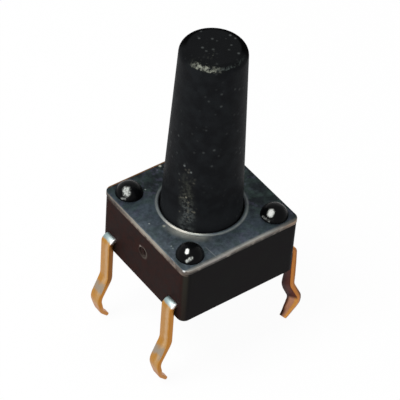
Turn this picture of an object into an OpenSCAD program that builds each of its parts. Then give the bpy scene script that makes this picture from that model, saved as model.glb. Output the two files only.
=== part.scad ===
// Tactile push button switch: 6 mm square body, tall round plunger, four snap-in legs.
//
// Frame: +Z is up, along the plunger. The origin is the middle of the footprint, on the
// board's top surface. The legs leave the two X sides of the housing, two on each side,
// and everything is in millimetres.
//
// Seven pieces: a moulded housing round two insert-moulded terminals, a snap dome, the
// film over it, the plunger and the stamped cover that the housing's posts hold down.

/* [Body] */
// Width of the cover along X, between the two leg sides
body_w = 6; // [5.6:0.1:7.6]
// Depth of the cover along Y, along the leg sides
body_d = 6; // [5.6:0.1:7.6]
// Height of the cover's top face above the board
body_h = 3.5; // [3.3:0.1:4.6]
// Radius of the four upright corners
corner_r = 0.35; // [0.2:0.05:0.6]
// How far the cover's edge stands out past the housing
cover_lip = 0.02; // [0:0.01:0.08]

/* [Cover] */
// Thickness of the cover sheet
cover_t = 0.22; // [0.2:0.02:0.4]
// Chamfer left round the cover's upper outer edge by the press
cover_edge = 0.03; // [0.02:0.01:0.1]
// Height of the lip that the punch draws up round the stem's hole
lip_h = 0.05; // [0.02:0.01:0.08]
// Width of the lip at its foot
lip_w = 0.18; // [0.08:0.01:0.25]

/* [Housing] */
// Height of the feet that hold the housing off the board
foot_h = 0.4; // [0.2:0.05:0.6]
// Diameter of a foot
foot_d = 0.9; // [0.6:0.1:1.2]
// Distance of a foot's centre from the housing's sides
foot_inset = 0.88; // [0.7:0.02:1.2]
// Thickness of the plastic below the terminals
sole_t = 0.63; // [0.5:0.01:0.9]
// Thickness of the plastic skin over the terminals, in the well's floor
skin_t = 0.1; // [0.06:0.02:0.12]
// Chamfer round the housing's lower edges
housing_edge = 0.08; // [0.04:0.02:0.14]
// Diameter of the holes that the mould's support pins leave under the terminals
pin_hole_d = 0.6; // [0.4:0.1:0.8]
// Diameter of the round gate mark in the housing's side
gate_d = 0.5; // [0.3:0.1:0.8]
// Depth of the gate mark
gate_depth = 0.06; // [0.04:0.01:0.1]
// Diameter of the broken sprue in the middle of the gate mark
sprue_d = 0.2; // [0.1:0.05:0.25]
// Depth of the broken sprue's end below the housing's side
sprue_depth = 0.02; // [0.01:0.01:0.03]
// Height of the gate mark's centre above the housing's underside
gate_z = 1.8; // [1.5:0.1:2]

/* [Staked posts] */
// Distance of a post's centre from the cover's sides
post_inset = 0.8; // [0.75:0.01:0.9]
// Diameter of a post's shank in its hole in the cover
post_d = 0.8; // [0.6:0.05:0.9]
// Diameter of the domed head that is melted over the cover
head_d = 1.2; // [1.1:0.05:1.4]
// Height of the domed head
head_h = 0.5; // [0.2:0.05:0.6]

/* [Plunger] */
// Height of the plunger's top above the board
total_h = 12.15; // [8:0.05:17]
// Diameter of the stem where it leaves the cover
stem_base_d = 3.5; // [3.2:0.05:3.6]
// Diameter of the stem at its top
stem_top_d = 2.8; // [2.2:0.1:3.2]
// Radius of the stem's top edge
stem_edge_r = 0.35; // [0.1:0.05:0.5]
// Thickness of the flange that the cover holds in
flange_t = 0.6; // [0.4:0.05:0.8]
// How far the flange reaches under the cover, all round its hole
flange_lap = 0.35; // [0.2:0.05:0.4]
// Width of the two key tabs that stop the plunger turning
key_w = 0.9; // [0.6:0.1:1.2]
// How far a key tab stands out past the flange
key_reach = 0.3; // [0.2:0.05:0.35]
// Diameter of the nub that pushes the dome
nub_d = 1.1; // [0.8:0.1:1.6]
// Travel of the plunger until the contacts close
travel = 0.25; // [0.15:0.05:0.35]

/* [Contacts] */
// Thickness of the terminals' sheet
strip_t = 0.27; // [0.2:0.01:0.33]
// Thickness of the snap dome
dome_t = 0.06; // [0.04:0.01:0.1]
// Thickness of the film over the dome
film_t = 0.05; // [0.03:0.01:0.08]
// Height of the coined contact pads above the terminals' sheet
pad_h = 0.15; // [0.12:0.01:0.2]
// Diameter of a contact pad at its foot
pad_d = 0.6; // [0.5:0.05:0.7]
// Diameter of a contact pad at its top
pad_top_d = 0.4; // [0.3:0.05:0.45]
// Angle from the X axis at which the rim pads lie under the dome's edge
pad_a = 33; // [28:1:38]
// Width of the tongue that reaches to the centre contact
tongue_w = 0.8; // [0.6:0.1:1]
// Diameter of the tongue's round end
tongue_end_d = 1.2; // [1:0.1:1.4]
// Width of the two arms under the dome's rim
arm_w = 0.7; // [0.6:0.05:0.8]

/* [Legs] */
// Width of a leg
leg_w = 0.62; // [0.5:0.02:0.8]
// Distance between the middles of the two legs on a side
leg_pitch = 4.5; // [4.4:0.1:5]
// Depth of the tips below the board's surface
leg_drop = 3.5; // [3.4:0.05:4.2]
// Width of a leg at its tip
tip_w = 0.3; // [0.2:0.05:0.5]
// Length over which a leg narrows to its tip
tip_taper = 0.9; // [0.3:0.1:1.2]
// Thickness of a leg at its tip, to which it is coined from its inner face
tip_t = 0.16; // [0.08:0.02:0.2]
// Radius of the middle line where a leg starts to kick out
kick_r = 0.8; // [0.5:0.1:1.2]
// Length of the straight between the kick and the knee
kick_l = 0.8; // [0.5:0.05:1]
// Length of the straight between the knee and the curl
shin_l = 0.5; // [0.3:0.05:0.6]
// Radius of the middle line where the tip curls in
curl_r = 0.5; // [0.3:0.1:0.8]

/* [-X legs] */
// Distance from the housing to the middle of the leg's sheet
left_reach = 0.22; // [0.22:0.01:0.4]
// Radius of the middle line in the shoulder bend
left_shoulder_r = 0.21; // [0.18:0.01:0.22]
// Angle by which the straight part leans outward
left_lean_a = 0; // [0:1:4]
// Angle by which the leg kicks out
left_kick_a = 24; // [15:1:30]
// Radius of the middle line in the knee
left_knee_r = 0.7; // [0.4:0.1:0.8]
// Angle from upright at which the leg comes back in below the knee
left_back_a = 16; // [12:1:30]
// Angle by which the tip curls further in
left_curl_a = 25; // [5:1:30]
// Length of the straight at the tip
left_tip_l = 0.44; // [0.1:0.02:0.5]
// Length over which the leg is coined thinner, up from its tip
left_coined_l = 2.4; // [0.4:0.1:2.8]

/* [+X legs] */
// Distance from the housing to the middle of the leg's sheet
right_reach = 0.35; // [0.35:0.01:0.45]
// Radius of the middle line in the shoulder bend
right_shoulder_r = 0.33; // [0.18:0.01:0.35]
// Angle by which the straight part leans outward
right_lean_a = 2; // [0:1:4]
// Angle by which the leg kicks out
right_kick_a = 27; // [15:1:30]
// Radius of the middle line in the knee
right_knee_r = 0.75; // [0.4:0.05:0.8]
// Angle from upright at which the leg comes back in below the knee
right_back_a = 34; // [20:1:40]
// Angle by which the tip curls further in
right_curl_a = 8; // [2:1:20]
// Length of the straight at the tip
right_tip_l = 0.2; // [0.1:0.02:0.5]
// Length over which the leg is coined thinner, up from its tip
right_coined_l = 0.9; // [0.4:0.1:2.8]

/* [Clearances] */
// Gap between the stem and the edge of its hole in the cover
stem_gap = 0.05; // [0.03:0.01:0.3]
// Gap between the flange and the well's wall, and round the key tabs
guide_gap = 0.05; // [0.02:0.01:0.1]
// Gap between the dome's edge and the well's wall
dome_gap = 0.2; // [0.1:0.02:0.3]
// Gap between the resting flange and the cover
rest_gap = 0.02; // [0.01:0.01:0.05]
// Gap between the resting nub and the film
nub_gap = 0.02; // [0.01:0.01:0.05]
// Gap between the film and the dome
film_gap = 0.01; // [0.01:0.01:0.03]
// Gap between a terminal and the plastic moulded round it
insert_gap = 0.01; // [0.005:0.005:0.02]
// Gap between a post's shank and its hole in the cover
post_gap = 0.05; // [0.03:0.01:0.1]
// Gap below the key tabs at the end of the stroke
stroke_gap = 0.15; // [0.1:0.05:0.3]

/* [Hidden] */
$fn = 96;
// Segments of the dome's large circles
dome_fn = 720;
// How far a cutter runs past the face that it opens
past = 0.5;
// Largest turn between two points of a bend
bend_step = 4;

housing_w = body_w - 2 * cover_lip;
housing_d = body_d - 2 * cover_lip;
housing_corner_r = corner_r - cover_lip;
housing_top_z = body_h - cover_t;

// From the stem outward: its hole, the flange that laps under the hole's edge, the well
// round the flange, and the dome and the film that lie in the well
cover_hole_d = stem_base_d + 2 * stem_gap;
flange_d = cover_hole_d + 2 * flange_lap;
well_d = flange_d + 2 * guide_gap;
dome_d = well_d - 2 * dome_gap;
film_d = well_d - dome_gap;

strip_z = foot_h + sole_t;
strip_top_z = strip_z + strip_t;
floor_z = strip_top_z + skin_t;
pad_top_z = strip_top_z + pad_h;

// The plunger takes up both gaps before it moves the dome, which then closes on the pad.
dome_rise = travel - nub_gap - film_gap;
dome_ball_r = (pow(dome_d / 2, 2) + pow(dome_rise, 2)) / (2 * dome_rise);
dome_ball_z = pad_top_z + dome_rise - dome_ball_r;
film_ball_r = dome_ball_r + dome_t + film_gap;
film_top_z = dome_ball_z + film_ball_r + film_t;

flange_top_z = housing_top_z - rest_gap;
flange_z = flange_top_z - flange_t;
nub_z = film_top_z + nub_gap;
// The stem stays straight for as long as it moves through the cover
stem_straight_z = body_h + travel;
key_r = flange_d / 2 + key_reach;
keyway_r = key_r + guide_gap;
keyway_w = key_w + 2 * guide_gap;
keyway_z = flange_z - travel - stroke_gap;

head_ball_r = (pow(head_d / 2, 2) + pow(head_h, 2)) / (2 * head_h);
post_x = body_w / 2 - post_inset;
post_y = body_d / 2 - post_inset;

rail_y = leg_pitch / 2;
// The dome's edge rests halfway out on each rim pad's top
pad_ring_r = (dome_d - pad_top_d / 2) / 2;
arm_x = pad_ring_r * cos(pad_a);
pad_y = pad_ring_r * sin(pad_a);
window_d = pad_d + 2 * skin_t;

// Half of an edge section: reach along X, height h, with the chamfer on the upper outside
module edge_section(reach, h, chamfer) {
    polygon([[0, 0], [reach, 0], [reach, h - chamfer], [reach - chamfer, h], [0, h]]);
}

// A block with round upright corners and a chamfer round its upper edge: a straight run
// along each side and a quarter turn at each corner, which meet in flat faces
module chamfered_block(w, d, h, r, chamfer) {
    linear_extrude(h) square([w - 2 * r, d - 2 * r], center = true);
    for (side = [0, 1]) {
        run = side == 0 ? d - 2 * r : w - 2 * r;
        out = side == 0 ? w / 2 - r : d / 2 - r;
        for (flip = [0, 180])
            rotate(90 * side + flip)
                translate([out, run / 2, 0])
                    rotate([90, 0, 0])
                        linear_extrude(run) edge_section(r, h, chamfer);
    }
    for (x = [-1, 1], y = [-1, 1])
        translate([x * (w / 2 - r), y * (d / 2 - r), 0])
            rotate(y > 0 ? (x > 0 ? 0 : 90) : (x > 0 ? 270 : 180))
                rotate_extrude(angle = 90) edge_section(r, h, chamfer);
}

// One child at each of the four corner places
module at_corners(x, y) {
    for (i = [-1, 1], j = [-1, 1]) translate([i * x, j * y, 0]) children();
}

// A place on a path is [x, y, heading, length so far]. One step straight ahead, and one
// round a bend whose middle line has radius r, turning left for a positive angle.
function ahead(p, run) =
    [p[0] + run * cos(p[2]), p[1] + run * sin(p[2]), p[2], p[3] + run];
function round_bend(p, turn, r) =
    let (on = r * sin(abs(turn)), aside = sign(turn) * r * (1 - cos(turn)))
    [p[0] + on * cos(p[2]) - aside * sin(p[2]),
     p[1] + on * sin(p[2]) + aside * cos(p[2]),
     p[2] + turn,
     p[3] + r * abs(turn) * PI / 180];

// The places along a path of [run, turn, radius] steps, with one every few degrees of bend
function path(p, steps, i = 0) =
    i == len(steps) ? [p] :
    let (start = ahead(p, steps[i][0]), turn = steps[i][1], r = steps[i][2],
         parts = ceil(abs(turn) / bend_step))
    concat([p], [for (k = [0 : parts - 1]) round_bend(start, turn * k / parts, r)],
           path(round_bend(start, turn, r), steps, i + 1));

// A place shifted to the left of its heading
function beside(p, shift) = [p[0] - shift * sin(p[2]), p[1] + shift * cos(p[2])];

// A bent sheet of thickness t seen edge on, whose middle line starts at the origin along
// +X and follows the steps. Over its last stretch, coined_l long, its right face comes
// evenly nearer until the sheet is end_t thick.
module bent_sheet(steps, t, end_t, coined_l) {
    line = path([0, 0, 0, 0], steps);
    last = len(line) - 1;
    coined_from = line[last][3] - coined_l;
    function thickness(p) = t - (t - end_t) * max(0, p[3] - coined_from) / coined_l;
    polygon(concat(
        [for (k = [0 : last]) beside(line[k], t / 2)],
        [for (k = [0 : last]) let (p = line[last - k]) beside(p, t / 2 - thickness(p))]));
}

// One leg in its own place on the +X side, from the housing's face down to its tip
module leg(reach, shoulder_r, lean_a, kick_a, knee_r, back_a, curl_a, tip_l, coined_l) {
    middle_z = strip_z + strip_t / 2;
    tip_a = back_a + curl_a;
    // The outer corner of the tip is the lowest point, and the straight part takes up
    // what the bends below it leave
    bends_depth = kick_r * (sin(kick_a) - sin(lean_a)) + kick_l * cos(kick_a)
                  + knee_r * (sin(kick_a) + sin(back_a)) + shin_l * cos(back_a)
                  + curl_r * (sin(tip_a) - sin(back_a)) + tip_l * cos(tip_a)
                  + strip_t / 2 * sin(tip_a);
    straight_l = (middle_z + leg_drop - shoulder_r * (1 - sin(lean_a)) - bends_depth)
                 / cos(lean_a);
    intersection() {
        translate([housing_w / 2, leg_w / 2, middle_z])
            rotate([90, 0, 0])
                linear_extrude(leg_w)
                    bent_sheet([[reach - shoulder_r, lean_a - 90, shoulder_r],
                                [straight_l, kick_a - lean_a, kick_r],
                                [kick_l, -kick_a - back_a, knee_r],
                                [shin_l, -curl_a, curl_r],
                                [tip_l, 0, 0]], strip_t, tip_t, coined_l);
        rotate([90, 0, 90])
            linear_extrude(body_w) leg_front();
    }
}

// Front outline of a leg: wider than the sheet all the way down, then narrowed to the tip
module leg_front() {
    wide = leg_w / 2 + past;
    taper_z = tip_taper - leg_drop;
    polygon([[-tip_w / 2, -leg_drop], [tip_w / 2, -leg_drop], [leg_w / 2, taper_z],
             [wide, taper_z],
             [wide, strip_top_z + past], [-wide, strip_top_z + past], [-wide, taper_z],
             [-leg_w / 2, taper_z]]);
}

// The two legs of a terminal whose rail lies at y
module leg_pair(y) {
    translate([0, y, 0]) {
        leg(right_reach, right_shoulder_r, right_lean_a, right_kick_a, right_knee_r,
            right_back_a, right_curl_a, right_tip_l, right_coined_l);
        mirror([1, 0, 0])
            leg(left_reach, left_shoulder_r, left_lean_a, left_kick_a, left_knee_r,
                left_back_a, left_curl_a, left_tip_l, left_coined_l);
    }
}

// The rail between a terminal's two legs, grown by `g` all round
module rail_plan(y, g) {
    translate([0, y]) square([housing_w, leg_w + 2 * g], center = true);
}

// Flat form of the centre terminal inside the housing: rail, tongue and round end
module centre_plan(g) {
    rail_plan(rail_y, g);
    translate([-tongue_w / 2 - g, 0]) square([tongue_w + 2 * g, rail_y]);
    circle(d = tongue_end_d + 2 * g);
}

// Flat form of the rim terminal inside the housing: rail and two round-ended arms
module rim_plan(g) {
    rail_plan(-rail_y, g);
    for (x = [-arm_x, arm_x]) {
        translate([x - arm_w / 2 - g, -rail_y]) square([arm_w + 2 * g, rail_y + pad_y]);
        translate([x, pad_y]) circle(d = arm_w + 2 * g);
    }
}

// A coined contact pad on the strips' top face
module contact_pad() {
    translate([0, 0, strip_top_z]) cylinder(h = pad_h, d1 = pad_d, d2 = pad_top_d);
}

// Places of the four pads under the dome's rim
module at_rim_pads() {
    at_corners(arm_x, pad_y) children();
}

module centre_terminal() color([0.78, 0.57, 0.27]) {
    translate([0, 0, strip_z]) linear_extrude(strip_t) centre_plan(0);
    contact_pad();
    leg_pair(rail_y);
}

module rim_terminal() color([0.78, 0.57, 0.27]) {
    translate([0, 0, strip_z]) linear_extrude(strip_t) rim_plan(0);
    at_rim_pads() contact_pad();
    leg_pair(-rail_y);
}

// The moulded block with its feet, posts and heads, before anything is cut from it
module housing_block() {
    translate([0, 0, housing_top_z]) mirror([0, 0, 1])
        chamfered_block(housing_w, housing_d, housing_top_z - foot_h, housing_corner_r,
                        housing_edge);
    at_corners(housing_w / 2 - foot_inset, housing_d / 2 - foot_inset)
        cylinder(h = strip_z, d = foot_d);
    at_corners(post_x, post_y) {
        translate([0, 0, floor_z]) cylinder(h = body_h - floor_z, d = post_d);
        translate([0, 0, body_h]) post_head();
    }
}

// The melted head of a post: a cap cut from a ball, flat on the cover
module post_head() {
    intersection() {
        translate([0, 0, head_h - head_ball_r]) sphere(head_ball_r);
        cylinder(h = head_h + past, d = head_d + past);
    }
}

// The space inside: the round well, the two keyways and the windows over the pads
module well() {
    translate([0, 0, floor_z]) cylinder(h = body_h, d = well_d);
    translate([-keyway_w / 2, -keyway_r, keyway_z]) cube([keyway_w, 2 * keyway_r, body_h]);
    translate([0, 0, strip_z + strip_t / 2]) {
        cylinder(h = strip_t, d = window_d);
        at_rim_pads() cylinder(h = strip_t, d = window_d);
    }
}

// The space that the two insert-moulded strips fill
module strip_space() {
    translate([0, 0, strip_z - insert_gap])
        linear_extrude(strip_t + 2 * insert_gap) {
            centre_plan(insert_gap);
            rim_plan(insert_gap);
            for (y = [-rail_y, rail_y])
                translate([0, y])
                    square([housing_w + 2 * past, leg_w + 2 * insert_gap], center = true);
        }
}

// Holes left under the strips by the pins that held them in the mould
module support_pin_holes() {
    cylinder(h = strip_z, d = pin_hole_d);
    for (x = [-arm_x, arm_x]) translate([x, 0, 0]) cylinder(h = strip_z, d = pin_hole_d);
}

// The gate mark: a shallow round recess with the broken sprue in its middle
module gate_mark() {
    translate([-housing_w / 2, 0, foot_h + gate_z]) rotate([0, 90, 0])
        difference() {
            translate([0, 0, -past]) cylinder(h = past + gate_depth, d = gate_d);
            translate([0, 0, sprue_depth]) cylinder(h = gate_depth, d = sprue_d);
        }
}

module base_housing() color([0.14, 0.11, 0.11])
    difference() {
        housing_block();
        well();
        strip_space();
        support_pin_holes();
        gate_mark();
    }

// A cap of a thin ball-shaped shell about the Z axis, with its crown up
module ball_cap(ball_z, ball_r, t, d) {
    rotate_extrude()
        intersection() {
            translate([0, ball_z]) difference() {
                circle(ball_r + t, $fn = dome_fn);
                circle(ball_r, $fn = dome_fn);
            }
            square([d / 2, body_h]);
        }
}

module dome_contact() color([0.76, 0.77, 0.78])
    ball_cap(dome_ball_z, dome_ball_r, dome_t, dome_d);

module insulating_film() color([0.85, 0.55, 0.15, 0.7])
    ball_cap(dome_ball_z, film_ball_r, film_t, film_d);

// Half section of the plunger: nub, flange, straight stem, taper and rounded top
module plunger_section() {
    top_r = stem_top_d / 2;
    edge_z = total_h - stem_edge_r;
    translate([0, nub_z]) square([nub_d / 2, flange_z - nub_z]);
    translate([0, flange_z]) square([flange_d / 2, flange_t]);
    translate([0, flange_top_z]) square([stem_base_d / 2, stem_straight_z - flange_top_z]);
    polygon([[0, stem_straight_z], [stem_base_d / 2, stem_straight_z], [top_r, edge_z],
             [0, edge_z]]);
    translate([0, edge_z]) square([top_r - stem_edge_r, stem_edge_r]);
    translate([top_r - stem_edge_r, edge_z])
        intersection() {
            circle(stem_edge_r);
            square(stem_edge_r);
        }
}

module plunger() color([0.10, 0.10, 0.11]) {
    rotate_extrude() plunger_section();
    translate([-key_w / 2, -key_r, flange_z]) cube([key_w, 2 * key_r, flange_t]);
}

// The lip round the stem's hole: a low ring with its crest near the hole, as a half
// section that stands on the sheet and sinks in by its own height
module hole_lip() {
    hole_r = cover_hole_d / 2;
    rotate_extrude()
        polygon([[hole_r, cover_t - lip_h], [hole_r + lip_w, cover_t - lip_h],
                 [hole_r + lip_w, cover_t], [hole_r + lip_w / 3, cover_t + lip_h],
                 [hole_r, cover_t]]);
}

module cover_plate() color([0.42, 0.47, 0.52])
    translate([0, 0, housing_top_z]) {
        difference() {
            chamfered_block(body_w, body_d, cover_t, corner_r, cover_edge);
            translate([0, 0, -past])
                cylinder(h = cover_t + 2 * past, d = cover_hole_d);
            at_corners(post_x, post_y)
                translate([0, 0, -past])
                    cylinder(h = cover_t + 2 * past, d = post_d + 2 * post_gap);
        }
        hole_lip();
    }

base_housing();
centre_terminal();
rim_terminal();
dome_contact();
insulating_film();
plunger();
cover_plate();
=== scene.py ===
# %% [markdown]
# # A tactile push button switch
# The part is a moulded block, 6 mm square, with a stamped steel cover that four melted posts
# hold down. A tall round plunger stands in the cover's hole, and four bent brass legs leave
# the block's sides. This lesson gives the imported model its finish. The pieces that a viewer
# sees close up are worked out again as smooth surfaces with numpy, and the others keep their
# mesh and get a material.

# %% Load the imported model
from math import cos, radians, sin, tau

import bmesh
import bpy
import numpy as np
from mathutils import Matrix, Vector


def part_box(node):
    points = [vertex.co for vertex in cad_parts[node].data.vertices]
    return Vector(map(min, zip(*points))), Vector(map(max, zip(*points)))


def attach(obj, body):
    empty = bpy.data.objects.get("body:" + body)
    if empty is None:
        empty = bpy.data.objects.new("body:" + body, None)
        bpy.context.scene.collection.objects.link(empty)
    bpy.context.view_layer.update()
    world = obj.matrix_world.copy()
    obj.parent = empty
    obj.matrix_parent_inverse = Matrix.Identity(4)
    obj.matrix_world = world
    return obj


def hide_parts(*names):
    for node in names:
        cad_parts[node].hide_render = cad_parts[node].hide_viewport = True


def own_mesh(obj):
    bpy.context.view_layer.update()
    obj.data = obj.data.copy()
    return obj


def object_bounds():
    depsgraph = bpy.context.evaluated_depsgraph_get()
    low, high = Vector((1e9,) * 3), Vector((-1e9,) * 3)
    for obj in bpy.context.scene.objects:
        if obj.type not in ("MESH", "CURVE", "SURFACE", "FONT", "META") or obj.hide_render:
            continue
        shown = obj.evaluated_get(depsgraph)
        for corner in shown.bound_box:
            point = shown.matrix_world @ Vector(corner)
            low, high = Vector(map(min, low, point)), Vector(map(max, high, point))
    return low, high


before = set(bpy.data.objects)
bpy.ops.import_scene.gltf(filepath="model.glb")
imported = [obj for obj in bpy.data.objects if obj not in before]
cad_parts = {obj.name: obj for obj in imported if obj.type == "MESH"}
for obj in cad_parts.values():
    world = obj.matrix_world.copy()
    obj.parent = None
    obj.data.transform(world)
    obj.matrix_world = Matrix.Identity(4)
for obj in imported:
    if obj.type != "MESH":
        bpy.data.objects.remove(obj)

cad_low, cad_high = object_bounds()
MM = 0.001
print("nodes:", sorted(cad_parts))

# %% [markdown]
# Blender works in metres and the part is a few millimetres across, so every size below is
# written in millimetres and turned to metres where it goes into a mesh. The places come from
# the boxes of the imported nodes.

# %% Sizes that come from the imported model
def box_mm(node):
    """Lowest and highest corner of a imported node, in millimetres."""
    low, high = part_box(node)
    return np.array(low) / MM, np.array(high) / MM


cover_low, cover_high = box_mm("cover_plate")
housing_low, housing_high = box_mm("base_housing")
plunger_low, plunger_high = box_mm("plunger")
terminal_low, terminal_high = box_mm("rim_terminal")
cover_w = cover_high[0] - cover_low[0]
cover_d = cover_high[1] - cover_low[1]
lip_h, lip_w = 0.05, 0.18
cover_top_z = cover_high[2] - lip_h
housing_w = housing_high[0] - housing_low[0]
print("cover", cover_w, "x", cover_d, "mm, top at", cover_top_z, "mm")

# %% [markdown]
# ## Surfaces from numpy
# A surface is a grid of points: rows run one way over it and columns the other. Four
# neighbours make a face. A grid may close on itself along its rows or its columns, as a tube
# does. Working the whole grid out as one array keeps the formula of a shape in plain sight.

# %% Helpers: faces of a grid, and several grids as one
def grid_faces(rows, cols, close_rows=False, close_cols=False):
    """Corner numbers of the faces between neighbouring rows and columns of a grid."""
    row = np.arange(rows if close_rows else rows - 1)
    col = np.arange(cols if close_cols else cols - 1)
    row, col = np.meshgrid(row, col, indexing="ij")
    next_row, next_col = (row + 1) % rows, (col + 1) % cols
    corners = [row * cols + col, next_row * cols + col,
               next_row * cols + next_col, row * cols + next_col]
    return np.stack(corners, axis=-1).reshape(-1, 4)


def round_surface(points, **attributes):
    """A (points, faces, attributes) grid whose columns go all the way round, as a tube's."""
    return points.reshape(-1, 3), grid_faces(*points.shape[:2], close_cols=True), attributes


def join_grids(grids):
    """One (points, faces, attributes) from several. A grid that lacks an attribute gets 0."""
    starts = np.cumsum([0] + [len(points) for points, _, _ in grids[:-1]])
    points = np.vstack([points for points, _, _ in grids])
    faces = np.vstack([faces + start for (_, faces, _), start in zip(grids, starts)])
    names = sorted({name for _, _, attributes in grids for name in attributes})
    attributes = {name: np.concatenate([np.broadcast_to(given.get(name, 0.0), len(of_grid))
                                        for of_grid, _, given in grids]) for name in names}
    return points, faces, attributes


# %% Helper: a mesh piece from points
weld_mm, sharp_angle = 1e-4, radians(35)


def make_piece(name, points, faces, attributes, body, slot):
    """A mesh piece from points in mm. Points that coincide are merged, faces are turned
    outward, and edges that turn by more than the sharp angle stay sharp."""
    mesh = bpy.data.meshes.new(name)
    mesh.from_pydata((points * MM).tolist(), [], faces.tolist())
    for attribute, values in attributes.items():
        layer = mesh.attributes.new(attribute, "FLOAT", "POINT")
        layer.data.foreach_set("value", np.ascontiguousarray(values, dtype=np.float32))
    work = bmesh.new()
    work.from_mesh(mesh)
    bmesh.ops.remove_doubles(work, verts=work.verts, dist=weld_mm * MM)
    bmesh.ops.recalc_face_normals(work, faces=work.faces)
    work.to_mesh(mesh)
    work.free()
    mesh.polygons.foreach_set("use_smooth", np.ones(len(mesh.polygons), dtype=bool))
    mesh.set_sharp_from_angle(angle=sharp_angle)
    piece = bpy.data.objects.new(name, mesh)
    bpy.context.scene.collection.objects.link(piece)
    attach(piece, body)
    print(f"{name}: {len(mesh.vertices)} points, {len(mesh.polygons)} faces")
    return piece


# %% [markdown]
# Moulded and stamped edges are never knife sharp. An outline is given by its corners, and
# each corner by the radius that rounds it. Two extra points close to each arc hold the flat
# stretches, so that they shade flat.

# %% Helper: round the corners of an outline
hold = 0.01


def rounded(corners, radii, steps):
    """Open outline through the corners. Each inner corner is replaced by an arc that touches
    both of its lines: the arc's centre lies on the bisector, radius / sin(half angle) away."""
    corners = np.asarray(corners, float)
    parts = [corners[:1]]
    for before, corner, after, radius in zip(corners, corners[1:], corners[2:], radii):
        back = (before - corner) / np.linalg.norm(before - corner)
        on = (after - corner) / np.linalg.norm(after - corner)
        half = np.arccos(np.clip(back @ on, -1, 1)) / 2
        cut = radius / np.tan(half)
        centre = corner + (back + on) / np.linalg.norm(back + on) * radius / np.sin(half)
        first, last = corner + back * cut - centre, corner + on * cut - centre
        turn = np.arctan2(first[0] * last[1] - first[1] * last[0], first @ last)
        angle = np.arctan2(first[1], first[0]) + turn * np.linspace(0, 1, steps + 1)
        arc = centre + radius * np.stack([np.cos(angle), np.sin(angle)], axis=1)
        parts += [[corner + back * (cut + hold)], arc, [corner + on * (cut + hold)]]
    parts.append(corners[-1:])
    return np.vstack(parts)


# %% Helper: turn a profile about the axis
def revolved(profile, segments):
    """Grid of an (r, z) profile turned about the Z axis: x = r cos a, y = r sin a."""
    angle = tau * np.arange(segments) / segments
    r, z = profile[:, :1], profile[:, 1:]
    return np.stack([r * np.cos(angle), r * np.sin(angle), z + 0 * angle], axis=-1)


# %% [markdown]
# ## The camera
# The switch is looked down on from its front left, with a long lens, so that upright lines
# run nearly parallel. Azimuth 0 would look along +Y, and the camera is rolled a little.

# %% Place the camera
camera_azimuth = radians(-39.18)
camera_elevation = radians(43.89)
camera_roll = radians(-4.55)
camera_place = (-42.865, -52.471, 68.868)
lens_mm, sensor_mm = 200.1, 36.0


def camera_axes(azimuth, elevation, roll):
    """Right, up and backward directions of a camera that looks at the part from there."""
    ahead = cos(elevation)
    back = Vector((sin(azimuth) * ahead, -cos(azimuth) * ahead, sin(elevation)))
    right = Vector((cos(azimuth), sin(azimuth), 0))
    up = back.cross(right)
    return (right * cos(roll) - up * sin(roll), right * sin(roll) + up * cos(roll), back)


camera = bpy.data.objects.new("camera", bpy.data.cameras.new("camera"))
bpy.context.scene.collection.objects.link(camera)
bpy.context.scene.camera = camera
camera.data.sensor_width = sensor_mm
camera.data.lens = lens_mm
camera.data.clip_start, camera.data.clip_end = 0.005, 2
turned = Matrix(camera_axes(camera_azimuth, camera_elevation, camera_roll)).transposed()
camera.matrix_world = Matrix.Translation(Vector(camera_place) * MM) @ turned.to_4x4()

# %% [markdown]
# ## The cover
# The cover is punched from cold-rolled steel sheet. The punch drags the sheet's skin over the
# outer edge before it cuts, which leaves a soft roll above a bare, brighter cut face. Round
# the stem's hole it draws up a low lip. The cover's section, from the hole's edge across to
# the outer edge and back below, is carried once round the outline. The holes for the posts
# lie under the melted heads.

# %% Cover: the outline
hole_d, lip_drop = 3.6, 0.03
cover_corner_r, roll_r, burr_r = 0.35, 0.05, 0.02


def rounded_square(w, d, r, on_side=40, on_corner=14):
    """Points and outward directions along a rectangle with round corners: quarter turns of
    radius r, joined by straight sides that carry the corner's last direction on."""
    points, directions = [], []
    for quarter in range(4):
        corner = np.array([[1, 1], [-1, 1], [-1, -1], [1, -1]])[quarter]
        centre = corner * [w / 2 - r, d / 2 - r]
        angle = tau / 4 * (quarter + np.linspace(0, 1, on_corner))
        direction = np.stack([np.cos(angle), np.sin(angle)], axis=1)
        arc = centre + r * direction
        length = (w if quarter % 2 == 0 else d) - 2 * r
        along = np.array([-direction[-1][1], direction[-1][0]])
        run = np.linspace(0, length, on_side + 2)[1:-1, None]
        points += [arc, arc[-1] + along * run]
        directions += [direction, np.repeat(direction[-1:], on_side, axis=0)]
    return np.vstack(points), np.vstack(directions)


# %% Cover: the section
def lip_section(t, steps=12):
    """Rows of (inset, height) over the hole's lip, outward: a quarter of an ellipse up to the
    crest at a third of the lip's width, then half a cosine wave down to the sheet."""
    crest = lip_w / 3
    rise = np.linspace(0, tau / 4, steps)
    up = np.stack([crest * (1 - np.cos(rise)),
                   t - lip_drop + (lip_drop + lip_h) * np.sin(rise)], axis=1)
    fall = np.linspace(0, 1, steps + 1)[1:]
    down = np.stack([crest + (lip_w - crest) * fall,
                     t + lip_h * (1 + np.cos(tau / 2 * fall)) / 2], axis=1)
    return np.vstack([up, down])


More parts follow.
